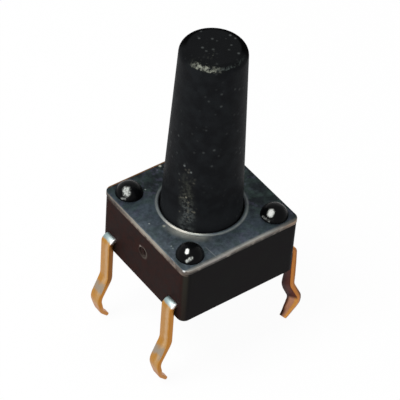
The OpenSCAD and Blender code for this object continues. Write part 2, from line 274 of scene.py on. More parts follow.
def cover_section():
    """Section as rows of (share from the hole to the outline, inset from that edge, height)."""
    t = cover_top_z - cover_low[2]
    quarter = np.linspace(0, tau / 4, 7)
    hole_wall = [[0, 0, 0], [0, 0, t / 2], [0, 0, t - lip_drop - hold]]
    lip = lip_section(t)
    lip = np.stack([0 * lip[:, 0], lip[:, 0], lip[:, 1]], axis=1)
    share = np.linspace(0, 1, 12)[1:-1]
    top = np.stack([share, lip_w + share * (roll_r - lip_w), 0 * share + t], axis=1)
    before_roll = [[1, roll_r + hold, t]]
    roll = np.stack([0 * quarter + 1, roll_r * (1 - np.sin(quarter)),
                     t - roll_r * (1 - np.cos(quarter))], axis=1)
    outer_wall = [[1, 0, t - roll_r - hold], [1, 0, t / 2], [1, 0, burr_r + hold]]
    burr = np.stack([0 * quarter + 1, burr_r * (1 - np.cos(quarter)),
                     burr_r * (1 - np.sin(quarter))], axis=1)
    underside = np.stack([share[::-1], 0 * share, 0 * share], axis=1)
    return np.vstack([hole_wall, lip, top, before_roll, roll, outer_wall, burr, underside])


# %% Cover: the section carried round
def cover_grid():
    """Each section row is a ring: (1 - share) of a circle and share of the outline, each
    moved by the inset, the circle outward and the outline inward. The cut_edge value is 0 on
    the sheet's top and grows to 1 where the roll ends."""
    outline, outward = rounded_square(cover_w, cover_d, cover_corner_r)
    round_way = outline / np.linalg.norm(outline, axis=1, keepdims=True)
    section = cover_section()
    share, inset, z = (section[:, k, None, None] for k in range(3))
    circle = (hole_d / 2 + inset) * round_way
    ring = (1 - share) * circle + share * (outline - inset * outward)
    height = np.broadcast_to(cover_low[2] + z, ring.shape[:2] + (1,))
    points = np.concatenate([ring, height], axis=2)
    thickness = cover_top_z - cover_low[2]
    cut = np.clip((thickness - section[:, 2]) / roll_r, 0, 1)
    rows, cols = points.shape[:2]
    faces = grid_faces(rows, cols, close_rows=True, close_cols=True)
    return points.reshape(-1, 3), faces, {"cut_edge": np.repeat(cut, cols)}


cover_piece = make_piece("stamped_cover", *cover_grid(), "switch_body", "steel_cover")
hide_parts("cover_plate")

# %% [markdown]
# ## The melted heads
# After the cover is on, a hot punch melts the end of each post into a dome. The skin of the
# dome sets in slight ripples, so its reflections break up. Each dome is a skin just outside
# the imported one, which it hides.

# %% Heads: four rippled domes
head_r, head_h, head_skin, ripple_share = 0.6, 0.5, 0.006, 0.006
post_inset = 0.8
post_x, post_y = cover_w / 2 - post_inset, cover_d / 2 - post_inset


def head_grid(x, y, turn, spots):
    """A ball cap about its own axis with a small foot radius. The ripple adds two crossed
    sine waves of about 0.3 mm length, faded out towards the foot. Each painted glint is a
    short line, a radius and a strength. It holds to half the radius from the line, and is
    gone at one and a half."""
    ball_r = (head_r ** 2 + head_h ** 2) / (2 * head_h)
    steep = np.arcsin(head_r / ball_r)
    angle = np.linspace(0, steep, 40)
    r = (ball_r + head_skin) * np.sin(angle)
    z = head_h - ball_r + (ball_r + head_skin) * np.cos(angle)
    foot = [[head_r + head_skin, 0.0]]
    points = revolved(np.vstack([np.stack([r, z], axis=1), foot]), 96)
    px, py = points[..., 0], points[..., 1]
    u, v = px * cos(turn) + py * sin(turn), py * cos(turn) - px * sin(turn)
    ripple = np.sin(tau * u / 0.34 + turn) * np.cos(tau * v / 0.47) + np.sin(tau * v / 0.29)
    fade = np.clip(points[..., 2] / head_h, 0, 1)
    spot = np.zeros(points.shape[:2])
    for start, end, spot_r, strength in spots:
        start, way = np.array(start), np.subtract(end, start)
        share = np.clip((points - start) @ way / (way @ way), 0, 1)
        off = np.linalg.norm(points - start - share[..., None] * way, axis=2)
        spot = np.maximum(spot, strength * np.clip(1.5 - off / spot_r, 0, 1))
    points *= 1 + (ripple_share * (1 + ripple / 2) * fade)[..., None]
    points += [x, y, cover_top_z]
    return round_surface(points, spot=spot.ravel())


heads = [(-post_x, -post_y, 0.4, [((-0.23, -0.09, 0.45), (-0.29, -0.15, 0.41), 0.085, 1.35),
                                  ((-0.41, -0.35, 0.15), (-0.24, -0.40, 0.27), 0.10, 0.72)]),
         (-post_x, post_y, 1.7, [((-0.27, -0.15, 0.42), (-0.34, -0.26, 0.35), 0.19, 0.86),
                                 ((-0.53, -0.20, 0.10), (-0.46, -0.33, 0.12), 0.08, 0.6)]),
         (post_x, -post_y, 3.0, [((-0.30, -0.13, 0.41), (-0.37, -0.17, 0.35), 0.15, 1.12),
                                 ((-0.55, 0.08, 0.10), (-0.49, -0.27, 0.11), 0.09, 0.6)]),
         (post_x, post_y, 4.3, [((-0.27, -0.14, 0.42), (-0.34, -0.2, 0.36), 0.12, 0.9)])]
head_piece = make_piece("melted_heads", *join_grids([head_grid(*head) for head in heads]),
                        "switch_body", "black_housing")

# %% [markdown]
# ## The plunger
# The plunger is moulded in one shot: a tapered stem over a flange, with a nub below that
# pushes the dome and two key tabs that stop it turning. Everything but the tabs is round, so
# its half section is turned about the axis. Each corner carries the mould's own radius.

# %% Plunger: the turned section
stem_base_d, stem_top_d, stem_edge_r = 3.5, 2.8, 0.35
flange_d, flange_t, flange_gap, nub_d, travel = 4.3, 0.6, 0.02, 1.1, 0.25
key_w, key_reach = 0.9, 0.3
mould_radii = [0.05, 0.03, 0.04, 0.04, 0.02, 0.8, stem_edge_r]
flange_top_z = cover_low[2] - flange_gap
flange_z = flange_top_z - flange_t


def plunger_grid():
    """Half section from the nub's middle out, up the stem and in to the middle of the top."""
    top_z, nub_z = plunger_high[2], plunger_low[2]
    straight_z = cover_top_z + travel
    corners = [(0, nub_z), (nub_d / 2, nub_z), (nub_d / 2, flange_z), (flange_d / 2, flange_z),
               (flange_d / 2, flange_top_z), (stem_base_d / 2, flange_top_z),
               (stem_base_d / 2, straight_z), (stem_top_d / 2, top_z), (0, top_z)]
    profile = rounded(corners, mould_radii, steps=8)
    return round_surface(revolved(profile, 160))


# %% Plunger: the key tabs
def block_grid(low, high, r=0.04, steps=4):
    """A block whose upright and level edges are round: rings of a rounded square, drawn in
    at both ends by r and closed at the two middles."""
    low, high = np.asarray(low, float), np.asarray(high, float)
    outline, outward = rounded_square(high[0] - low[0], high[1] - low[1], 1.5 * r, 3, 4)
    quarter = np.linspace(0, tau / 4, steps + 1)
    inset = np.concatenate([[0], r * (1 - np.sin(quarter)), r * (1 - np.cos(quarter)), [0]])
    height = np.concatenate([[0], r * (1 - np.cos(quarter)),
                             high[2] - low[2] - r * (1 - np.sin(quarter)), [high[2] - low[2]]])
    scale = np.ones(len(inset))
    scale[[0, -1]] = 0
    ring = scale[:, None, None] * (outline - inset[:, None, None] * outward)
    centre = (low[:2] + high[:2]) / 2
    z = np.broadcast_to(low[2] + height[:, None, None], ring.shape[:2] + (1,))
    return round_surface(np.concatenate([ring + centre, z], axis=2))


key_r = flange_d / 2 + key_reach
keys = [block_grid((-key_w / 2, -key_r, flange_z), (key_w / 2, -stem_base_d / 2, flange_top_z)),
        block_grid((-key_w / 2, stem_base_d / 2, flange_z), (key_w / 2, key_r, flange_top_z))]
plunger_piece = make_piece("moulded_plunger", *join_grids([plunger_grid()] + keys),
                           "button", "black_plunger")
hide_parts("plunger")

# %% [markdown]
# ## The legs
# Each terminal is one strip of brass: a leg, a rail through the housing and the leg on the
# other side. The strip is bent only in the XZ plane, so its middle line is a run of straights
# and arcs. A leg leaves the housing level, turns down over its shoulder, kicks out so that it
# grips the board's hole, and comes back in to a narrow coined tip.
#
# The width of the strip follows the height, and its thickness the way to the tip. Every
# point also gets five values for the material: how far along the leg it lies, how far across
# it, whether it is on a cut edge, whether it is on the outer face, and whether it is on the
# +X side. One +X leg was twisted a little by handling, so its section turns as it goes down.

# %% Strip: the shape of the legs
strip_t, leg_w, leg_pitch, leg_drop = 0.27, 0.62, 4.5, 3.5
tip_w, tip_taper, tip_t = 0.3, 0.9, 0.16
pad_h = 0.15
strip_mid_z = terminal_high[2] - pad_h - strip_t / 2
kick_r, kick_l, shin_l, curl_r = 0.8, 0.8, 0.5, 0.5
left_leg = dict(reach=0.22, shoulder_r=0.21, lean=0, kick=24, knee_r=0.7, back=16, curl=25,
                tip_l=0.44)
right_leg = dict(reach=0.35, shoulder_r=0.33, lean=2, kick=27, knee_r=0.75, back=34, curl=8,
                 tip_l=0.2)
left_coined_l, right_coined_l = 2.4, 0.9


def leg_steps(reach, shoulder_r, lean, kick, knee_r, back, curl, tip_l):
    """[straight length, turn in radians, bend radius] rows from the housing to the tip. The
    upright straight takes up what the bends below it leave of the leg's drop."""
    lean, kick, back, curl = (radians(a) for a in (lean, kick, back, curl))
    tip = back + curl
    bends = (kick_r * (sin(kick) - sin(lean)) + kick_l * cos(kick)
             + knee_r * (sin(kick) + sin(back)) + shin_l * cos(back)
             + curl_r * (sin(tip) - sin(back)) + tip_l * cos(tip) + strip_t / 2 * sin(tip))
    upright = (strip_mid_z + leg_drop - shoulder_r * (1 - sin(lean)) - bends) / cos(lean)
    return [[reach - shoulder_r, lean - tau / 4, shoulder_r], [upright, kick - lean, kick_r],
            [kick_l, -kick - back, knee_r], [shin_l, -curl, curl_r], [tip_l, 0, 1]]


# %% Strip: the middle line
def bent_line(steps, straight_step=0.06, turn_step=radians(4)):
    """Rows of (x, z, heading, distance) along straights and arcs. On an arc the heading
    grows evenly, and the place is the arc's centre plus its radius."""
    x, z, heading, distance = housing_w / 2, strip_mid_z, 0.0, 0.0
    rows = [np.array([[x, z, heading, distance]])]
    for length, turn, radius in steps:
        if length > 0:
            s = np.linspace(0, length, max(2, int(length / straight_step)))[1:]
            rows.append(np.stack([x + s * cos(heading), z + s * sin(heading),
                                  0 * s + heading, distance + s], axis=1))
            x, z, distance = rows[-1][-1, 0], rows[-1][-1, 1], distance + length
        if turn:
            t = turn * np.linspace(0, 1, max(2, int(abs(turn) / turn_step) + 1))[1:]
            side = np.sign(turn) * radius
            rows.append(np.stack([x + side * (np.sin(heading + t) - sin(heading)),
                                  z - side * (np.cos(heading + t) - cos(heading)),
                                  heading + t, distance + radius * np.abs(t)], axis=1))
            x, z, heading = rows[-1][-1, :3]
            distance += radius * abs(turn)
    return np.vstack(rows)


def strip_line():
    """Middle line from the left tip to the right tip: the left leg is mirrored in X and
    walked backwards, which keeps the outer face on the left of the way all along."""
    right = bent_line(leg_steps(**right_leg))
    left = bent_line(leg_steps(**left_leg))[::-1] * [-1, 1, -1, 1]
    to_tip = np.concatenate([(left[0, 3] - left[:, 3]) / left_coined_l,
                             (right[-1, 3] - right[:, 3]) / right_coined_l])
    return np.vstack([left, right]), np.clip(1 - to_tip, 0, 1)


# %% Strip: the section carried along
def strip_grid(y, handled=None, edge_r=0.055, steps=4):
    """The section is a rounded rectangle: four quarter turns of edge_r about the corners of a
    smaller rectangle. A point is the middle line's place, plus its height in the section
    along the line's left side, plus its width along Y. Where the +X leg was handled, the
    section is turned upright about its -Y edge, and its +Y edge is let down."""
    line, tip_share = strip_line()
    x, z, heading, distance = line.T[:, :, None]
    half_w = np.interp(z, [-leg_drop, tip_taper - leg_drop], [tip_w / 2, leg_w / 2])
    outer = np.full_like(z, strip_t / 2)
    inner = -strip_t / 2 + tip_share[:, None] * (strip_t - tip_t)
    angle = (tau / 4 * (np.arange(4)[:, None] + np.linspace(0, 1, steps + 1))).ravel()
    side = np.repeat([1, -1, -1, 1], steps + 1)
    face = np.repeat([1, 1, -1, -1], steps + 1)
    across = side * (half_w - edge_r) + edge_r * np.cos(angle)
    level = np.where(face > 0, outer - edge_r, inner + edge_r) + edge_r * np.sin(angle)
    at, turned, lowered = handled or ([0], [0], [0])
    turn = radians(1) * np.interp(distance, at, turned) * (x > 0)
    drop = np.interp(distance, at, lowered) * (x > 0) / leg_w

    def placed(across, level):
        """Points of the strip at a width and a height in its section."""
        out, wide = -level * np.sin(heading), across + half_w
        return np.stack([x + out * np.cos(turn) - wide * np.sin(turn),
                         y - half_w + out * np.sin(turn) + wide * np.cos(turn),
                         z + level * np.cos(heading) - drop * wide], axis=-1)

    points = placed(across, level)
    middle = np.repeat(placed(0 * x, (outer + inner) / 2), points.shape[1], axis=1)

    def whole(values):
        """The same value on the two closing rows as on their neighbours."""
        grid = np.broadcast_to(values, points.shape[:2])
        return np.concatenate([grid[:1], grid, grid[-1:]]).ravel()

    return round_surface(np.concatenate([middle[:1], points, middle[-1:]]),
                         along=whole(distance), across=whole(across / half_w),
                         cut_edge=whole(np.cos(angle) ** 2),
                         outer_face=whole((face + 1) / 2), right_side=whole(x > 0))


# How far along the leg, the turn there in degrees, and how far the +Y edge is let down
handled_leg = ([0.6, 1.2, 2.0, 2.9, 3.6, 4.1, 4.5, 4.9], [0, -9, -9, 6, 10, 17, 17, 12],
               [0, 0.35, 0.35, 0.35, 0.32, 0.2, 0.08, 0])

# %% [markdown]
# Inside the housing the strips carry the contacts: a tongue to the middle on one, and two
# arms under the dome's rim on the other. They show only through the small holes in the
# housing's underside, so they stay plain blocks and turned pads.

# %% Contacts: the sizes and the turned shapes
strip_top_z = strip_mid_z + strip_t / 2
strip_low_z = strip_mid_z - strip_t / 2
rail_y = leg_pitch / 2
tongue_w, tongue_end_d, arm_w = 0.8, 1.2, 0.7
pad_d, pad_top_d, pad_sunk, dome_d = 0.6, 0.4, 0.02, 4.0
pad_ring_r, pad_angle = (dome_d - pad_top_d / 2) / 2, radians(33)
arm_x, pad_y = pad_ring_r * cos(pad_angle), pad_ring_r * sin(pad_angle)
block_edge_r = 0.01


def round_grid(x, y, profile):
    """A small turned shape standing at x, y. Its along value of -1 lies on no leg."""
    return round_surface(revolved(np.asarray(profile, float), 48) + [x, y, 0], along=-1.0)


def pad_grid(x, y):
    """A coined pad: a low cone on the strip, sunk into it a little."""
    return round_grid(x, y, [(0, strip_top_z - pad_sunk), (pad_d / 2, strip_top_z - pad_sunk),
                             (pad_d / 2, strip_top_z), (pad_top_d / 2, strip_top_z + pad_h),
                             (0, strip_top_z + pad_h)])


def disc_grid(x, y, d):
    """The round end of a tongue or an arm."""
    return round_grid(x, y, [(0, strip_low_z), (d / 2, strip_low_z), (d / 2, strip_top_z),
                             (0, strip_top_z)])


# %% Contacts on both strips
tongue = [block_grid((-tongue_w / 2, 0, strip_low_z), (tongue_w / 2, rail_y, strip_top_z),
                     block_edge_r),
          disc_grid(0, 0, tongue_end_d), pad_grid(0, 0)]
arms = [part for x in (-arm_x, arm_x) for part in (
    block_grid((x - arm_w / 2, -rail_y, strip_low_z), (x + arm_w / 2, pad_y, strip_top_z),
               block_edge_r),
    disc_grid(x, pad_y, arm_w), pad_grid(x, pad_y), pad_grid(x, -pad_y))]
centre_piece = make_piece("centre_strip", *join_grids([strip_grid(rail_y)] + tongue),
                          "switch_body", "brass_terminal")
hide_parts("centre_terminal")
rim_piece = make_piece("rim_strip", *join_grids([strip_grid(-rail_y, handled_leg)] + arms),
                       "switch_body", "brass_terminal")
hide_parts("rim_terminal")
drawn_low = min(corner[2] for corner in rim_piece.bound_box) / MM
print(f"strip: lowest at {drawn_low:.3f} mm, packed node at {terminal_low[2]:.3f} mm")

# %% [markdown]
# ## The snap dome and its film
# The moving contact is a shallow dome stamped from thin spring strip. Its rim rests on the
# outer pads, and a thin film over it keeps dirt out. Both give way under the plunger's nub,
# and flatten towards the dome's rim as the plunger comes down. Here each is one fixed cap,
# as wide as its imported node.

# %% Dome and film
dome_t, film_t, film_gap, hair = 0.06, 0.05, 0.01, 0.002
dome_low, dome_high = box_mm("dome_contact")
film_high = box_mm("insulating_film")[1]
dome_rise = dome_high[2] - dome_low[2] - dome_t
dome_ball_r = (dome_high[0] ** 2 + dome_rise ** 2) / (2 * dome_rise)
ball_z = dome_low[2] + dome_rise - dome_ball_r


def cap_grid(ball_r, t, d, steps=24):
    """A cap between two balls about the same middle, cut off upright at diameter d. Its
    height at r is the middle's, plus the root of the ball's radius squared less r squared."""
    r = np.linspace(0, d / 2, steps)
    inner = np.stack([r, ball_z + np.sqrt(ball_r ** 2 - r ** 2)], axis=1)
    outer = np.stack([r, ball_z + np.sqrt((ball_r + t) ** 2 - r ** 2)], axis=1)
    return round_surface(revolved(np.vstack([inner, outer[::-1]]), 96))


dome_piece = make_piece("snap_dome", *cap_grid(dome_ball_r, dome_t, 2 * dome_high[0]),
                        "switch_body", "steel_dome")
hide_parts("dome_contact")
film_piece = make_piece("film_disc", *cap_grid(dome_ball_r + dome_t + film_gap, film_t,
                                               2 * film_high[0]), "switch_body", "amber_film")
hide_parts("insulating_film")
for piece in (dome_piece, film_piece):
    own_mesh(piece)

# %% [markdown]
# ## Materials
# A colour is written as the hex value that a viewer would read off the screen. A shader works
# with linear light, in which half as much light is half the number, so each hex value is
# turned to that first.

# %% Helper: a colour's linear value
def linear(hex_colour):
    """Linear RGBA of an sRGB hex colour: the dark end is divided by 12.92, and the rest is
    ((c + 0.055) / 1.055) to the power 2.4."""
    srgb = [int(hex_colour[k:k + 2], 16) / 255 for k in (1, 3, 5)]
    light = [c / 12.92 if c <= 0.04045 else ((c + 0.055) / 1.055) ** 2.4 for c in srgb]
    return (*light, 1.0)


print("mid grey in linear light:", [round(c, 3) for c in linear("#808080")[:3]])

# %% [markdown]
# A material is a net of nodes, and one small function adds each of them. It could take the
# sockets' names every time, but most nodes here have two to five sockets that are filled from
# the top down, so values in order keep a line short. Two kinds of node have a setting that
# this lesson always wants: a range is mapped with soft ends, and a mix is of colours.

# %% Helper: add a node
PER_MM = 1 / MM
USUAL_SETTINGS = {"MapRange": {"interpolation_type": "SMOOTHSTEP"},
                  "Mix": {"data_type": "RGBA"}}


def add(material, kind, *inputs, **settings):
    """Adds a node to a material, or to the world, and returns it. The inputs go to its live
    sockets in order, and those in a dict go by name. Each is a plain value, a hex colour, one
    of another node's outputs, or another node, which stands for its first live output."""
    node = material.node_tree.nodes.new("ShaderNode" + kind)
    for name, value in {**USUAL_SETTINGS.get(kind, {}), **settings}.items():
        setattr(node, name, value)
    live = [socket for socket in node.inputs if socket.enabled]
    pairs = list(zip(live, [value for value in inputs if not isinstance(value, dict)]))
    for named in (value for value in inputs if isinstance(value, dict)):
        pairs += [(node.inputs[name], value) for name, value in named.items()]
    for socket, value in pairs:
        if isinstance(value, bpy.types.Node):
            value = next(output for output in value.outputs if output.enabled)
        if isinstance(value, bpy.types.NodeSocket):
            material.node_tree.links.new(value, socket)
        else:
            socket.default_value = linear(value) if isinstance(value, str) else value
    return node


# %% [markdown]
# Wear, stains and scratches are masks: numbers from 0 to 1 that say how much of one colour
# shows over another. A mask comes from where a point lies on the part, so places are given in
# millimetres, and from noise, whose scale is one over the size of its blotches.

# %% Helpers: places and masks
def in_mm(material, place):
    """The three object coordinates as numbers in millimetres."""
    axes = add(material, "SeparateXYZ", place).outputs
    return [add(material, "Math", axis, MM, operation="DIVIDE") for axis in axes]


def product(material, *values):
    """Product of several values."""
    result = values[0]
    for value in values[1:]:
        result = add(material, "Math", result, value, operation="MULTIPLY")
    return result


def near(material, value, middle, half, soft):
    """1 within half of the middle, falling smoothly to 0 over soft on both sides."""
    off = add(material, "Math", value, middle, operation="SUBTRACT")
    return add(material, "MapRange", add(material, "Math", off, operation="ABSOLUTE"),
               half + soft, half)


def polar(material, x, y):
    """Distance from the Z axis and angle round it in degrees, from -180 to 180 about the -X
    side, so that the angle has no jump on the front of the part."""
    square = add(material, "Math", product(material, x, x), product(material, y, y),
                 operation="ADD")
    radius = add(material, "Math", square, operation="SQRT")
    turn = add(material, "Math", product(material, y, -1), product(material, x, -1),
               operation="ARCTAN2")
    return radius, add(material, "Math", turn, operation="DEGREES")


def mm_from(material, place, point):
    """Distance in millimetres from a point given in millimetres."""
    off = add(material, "VectorMath", place, tuple(v * MM for v in point),
              operation="DISTANCE")
    return add(material, "Math", off, MM, operation="DIVIDE")


# %% Helpers: begin and finish a material
def new_material(name):
    """An empty material, and its object coordinates."""
    material = bpy.data.materials.new(name)
    material.use_nodes = True
    material.node_tree.nodes.clear()
    return material, add(material, "TexCoord").outputs["Object"]


def finish_material(material, surface):
    """Links the surface to the output, and prints how many nodes it took."""
    add(material, "OutputMaterial", surface)
    print(f"{material.name}: {len(material.node_tree.nodes)} nodes")
    return material


# %% [markdown]
# ### Nickel-plated cold-rolled steel
# The cover's sheet was plated, rolled and handled. Its sheen is slate, painted lighter towards
# the front and darker at the back as its reflection of the light, with faint green and violet
# clouds and a fine mottle. The colours are laid over each other from the broad change to the
# small, as a painter would, because each then needs only one mask.

# %% Cover: the rolled sheet's colour
def sheet_colour(steel, place, x, y):
    """Painted reflection: dark at the back and lighter at the front, along x + y with a slow
    wander.
    """
    wander = add(steel, "Math", add(steel, "TexNoise", place, PER_MM / 1.6), 0.5,
                 operation="SUBTRACT")
    on = add(steel, "Math", add(steel, "Math", x, y, operation="ADD"),
             product(steel, wander, 1.6), operation="ADD")
    # painted reflection: darker at the back, lighter at the front
    sheet = add(steel, "Mix", add(steel, "MapRange", on, 0.9, -1.2), "#1d2225", "#3a434b")
    sheet = add(steel, "Mix", add(steel, "MapRange", on, -1.3, -4.0), sheet, "#5a646c")
    green = add(steel, "MapRange", add(steel, "TexNoise", place, PER_MM / 0.4, 3), 0.4, 0.66)
    sheet = add(steel, "Mix", product(steel, green, 0.4), sheet, "#3a4a45")
    violet = add(steel, "TexNoise", place, PER_MM / 0.33, 3, 0.6)
    violet = add(steel, "MapRange", violet, 0.53, 0.68)
    sheet = add(steel, "Mix", product(steel, violet, 0.35), sheet, "#474658")
    mottle = add(steel, "TexNoise", place, PER_MM / 0.19, 3, 0.65)
    mottle = add(steel, "MapRange", mottle, 0.32, 0.68, 0.78, 1.25)
    return add(steel, "VectorMath", sheet, mottle, operation="SCALE")


# %% [markdown]
# Drawing the lip up round the hole stretched the plating there. Its crest carries a painted
# highlight, a thin pale ring that is cream on the front left, inside a soft painted glow on
# the sheet, and the hole's inside wall is painted dark as shade.

# %% Cover: the lip's painted highlight
halo_r, halo_w, crest_r = hole_d / 2 + 0.1, 0.52, hole_d / 2 + 0.13


def lip_with_painted_highlight(steel, sheet, radius, angle, patches):
    """The sheet's colour with the painted glow, the painted shade inside the hole and the
    crest's painted highlight over it.
    """
    # painted glow on the sheet round the front left of the hole
    halo = product(steel, add(steel, "MapRange", radius, halo_r + halo_w, halo_r),
                   near(steel, angle, 36, 10, 26),
                   add(steel, "MapRange", patches, -0.4, 0.2, 0.6, 1.0))
    sheet = add(steel, "Mix", product(steel, halo, 0.9), sheet, "#bfc0b5")
    # painted shade on the hole's inside wall
    inside = add(steel, "MapRange", radius, halo_r, halo_r - 0.05)
    sheet = add(steel, "Mix", inside, sheet, "#34373a")
    # painted highlight along the lip's crest, cream on the front left
    off_round = add(steel, "MapRange", angle, 25, 50, 0, 0.03)
    crest = near(steel, add(steel, "Math", radius, off_round, operation="SUBTRACT"), crest_r,
                 0.015, 0.06)
    away = add(steel, "Math", angle, 45, operation="SUBTRACT")
    away = add(steel, "Math", away, operation="ABSOLUTE")
    crest = product(steel, crest, add(steel, "MapRange", away, 120, 60, 0.4, 1.0),
                    add(steel, "MapRange", patches, -0.3, 0.1, 0.6, 1.0))
    cream = add(steel, "Mix", near(steel, angle, 20, 6, 24), "#6e7372", "#95928a")
    return add(steel, "Mix", crest, sheet, cream)


# %% [markdown]
# Then come the marks of handling: rare bright pricks, a hairline scratch and a brown line of
# tarnish along the +Y edge. A soft painted highlight lies along the roll of the -Y edge. The
# pricks are the cells of a Voronoi pattern, and each cell's own colour says whether it shows.
# Two larger ones are listed.

# %% Cover: marks of handling
prick_places = ((-0.15, 2.84, cover_top_z), (-2.13, -0.25, cover_top_z))


def handled_sheet(steel, sheet, place, x, y, patches):
    """The sheet's colour with the marks and the -Y edge's painted highlight over it."""
    cells = add(steel, "TexVoronoi", place, PER_MM / 0.36)
    prick = add(steel, "MapRange", cells.outputs["Distance"], 0.15, 0.05)
    rare = add(steel, "MapRange", add(steel, "SeparateXYZ", cells.outputs["Color"]), 0.6, 0.9)
    sheet = add(steel, "Mix", product(steel, prick, rare, 0.6), sheet, "#aeb8b6")
    for prick_place in prick_places:
        dot = add(steel, "MapRange", mm_from(steel, place, prick_place), 0.09, 0.03)
        sheet = add(steel, "Mix", product(steel, dot, 0.7), sheet, "#b4b5a8")
    across = add(steel, "Math", product(steel, y, 0.06), 1.53, operation="ADD")
    across = add(steel, "Math", x, across, operation="ADD")
    scratch = product(steel, near(steel, across, 0, 0.008, 0.03),
                      near(steel, y, -2.55, 0.3, 0.1))
    sheet = add(steel, "Mix", product(steel, scratch, 0.55), sheet, "#8f979b")
    # painted highlight along the roll of the -Y edge, paler towards -X
    border = product(steel, add(steel, "MapRange", y, -2.8, -2.95),
                     add(steel, "MapRange", x, 2.7, 0.6, 0.45, 1.0),
                     add(steel, "MapRange", patches, -0.3, 0.1, 0.7, 1.0))
    painted_edge_light = add(steel, "Mix", add(steel, "MapRange", x, 1.4, 2.6), "#a09f98", "#80776c")
    sheet = add(steel, "Mix", product(steel, border, 0.85), sheet, painted_edge_light)
    tarnish = product(steel, add(steel, "MapRange", y, 2.89, 2.94),
                      add(steel, "MapRange", patches, -0.35, 0.0))
    return add(steel, "Mix", product(steel, tarnish, 0.8), sheet, "#7d5526")


# %% [markdown]
# The cut edges never had plating. They are warmer than the sheet, cream where they were
# rubbed, and brown at the back. Their lower part is painted dark as the shade under the
# cover's edge, and the near corner's edge carries a painted glint.

# %% Cover: the bare cut edge
corner_glint_place = (-2.95, -2.82, cover_top_z - 0.03)


def bare_steel(steel, place, x, y, z, patches):
    """Colour of the cut: the -X side, the -Y side, and then the painted shade on its lower
    part, the brown at the back and the painted glint on the near corner."""
    rubbed = product(steel, add(steel, "MapRange", y, -2.1, -1.2),
                     add(steel, "MapRange", y, 3.2, -0.2))
    bare = add(steel, "Mix", rubbed, "#6b625c", "#a8a296")
    front = add(steel, "MapRange", x, -2.93, -2.7)
    front_bare = add(steel, "Mix", near(steel, x, -1.4, 0.3, 0.9), "#7d766f", "#9b9591")
    front_bare = add(steel, "Mix", add(steel, "MapRange", x, 1.8, 2.7), front_bare, "#94806f")
    bare = add(steel, "Mix", front, bare, front_bare)
    # painted shade on the lower part of the cut, under the cover's edge
    shaded_lower_cut = product(steel, front, add(steel, "MapRange", x, 1.6, 2.6, 1.0, 0.35))
    shaded_lower_cut = add(steel, "Math", shaded_lower_cut, add(steel, "MapRange", y, 0.3, 2.2), operation="MAXIMUM")
    lower = add(steel, "MapRange", z, cover_top_z - 0.06, cover_top_z - 0.14)
    bare = add(steel, "Mix", product(steel, lower, shaded_lower_cut, 0.8), bare, "#2a2827")
    bare = add(steel, "Mix", add(steel, "MapRange", y, 2.75, 2.95, 0, 0.6), bare, "#6f4c28")
    bare = add(steel, "Mix", add(steel, "MapRange", patches, 0, 0.2, 0, 0.6), bare, "#9d968c")
    # painted glint on the near corner's edge
    glint_dot = add(steel, "MapRange", mm_from(steel, place, corner_glint_place), 0.09, 0.03)
    return add(steel, "Mix", glint_dot, bare, "#e8e8e6")


# %% [markdown]
# The material puts these together. The piece's own cut_edge value is 0 on the sheet and 1 on
# the cut, and a little noise added to it frays the border between them. The relief is rolling
# lines along X with some grit. Both are finer on real sheet, and are drawn as coarse as they
# must be to show.

# %% Material: cover
def cover_material():
    """The sheet's colour and the bare steel's, mixed by the frayed cut_edge value."""
    steel, place = new_material("nickel_plated_rolled_steel")
    x, y, z = in_mm(steel, place)
    radius, angle = polar(steel, x, y)
    patches = add(steel, "Math", add(steel, "TexNoise", place, PER_MM / 0.3, 3, 0.6), 0.5,
                  operation="SUBTRACT")
    sheet = sheet_colour(steel, place, x, y)
    sheet = lip_with_painted_highlight(steel, sheet, radius, angle, patches)
    sheet = handled_sheet(steel, sheet, place, x, y, patches)
    cut = add(steel, "Attribute", attribute_name="cut_edge").outputs["Fac"]
    frayed = add(steel, "Math", cut, product(steel, patches, 0.5), operation="ADD")
    colour = add(steel, "Mix", add(steel, "MapRange", frayed, 0.15, 0.6), sheet,
                 bare_steel(steel, place, x, y, z, patches))
    along_x = add(steel, "Mapping", place, {"Scale": (0.06, 1, 1)})
    rolled = add(steel, "TexNoise", along_x, PER_MM / 0.05, 3, 0.6)
    grit = add(steel, "TexNoise", place, PER_MM / 0.09, 2)
    relief = add(steel, "Math", product(steel, rolled, 0.6), product(steel, grit, 0.4),
                 operation="ADD")
    dullness = add(steel, "TexNoise", place, PER_MM / 0.35, 3)
    surface = add(steel, "BsdfPrincipled",
                  {"Base Color": colour, "Metallic": 1.0,
                   "Roughness": add(steel, "MapRange", dullness, 0.3, 0.7, 0.5, 0.62),
                   "Normal": add(steel, "Bump", {"Height": relief, "Distance": 0.0012 * MM})})
    return finish_material(steel, surface)


cover_piece.data.materials.append(cover_material())

# %% [markdown]
# ### Glass-filled polyester, as moulded and as melted
# The housing is black polyester with a dull skin from a spark-eroded mould. Its -X face, on
# the gate's side, is painted warm brown as the face that the light falls on, and its near
# corner carries a painted highlight in grey. The edge under the cover is scuffed, and the rim
# of the round gate mark, where the plastic came in, carries a painted highlight and glint.

# %% Material: housing
gate_place, gate_r = (-cover_w / 2, 0.0, 2.2), 0.25
gate_glint_place = (-cover_w / 2, 0.17, 2.37)


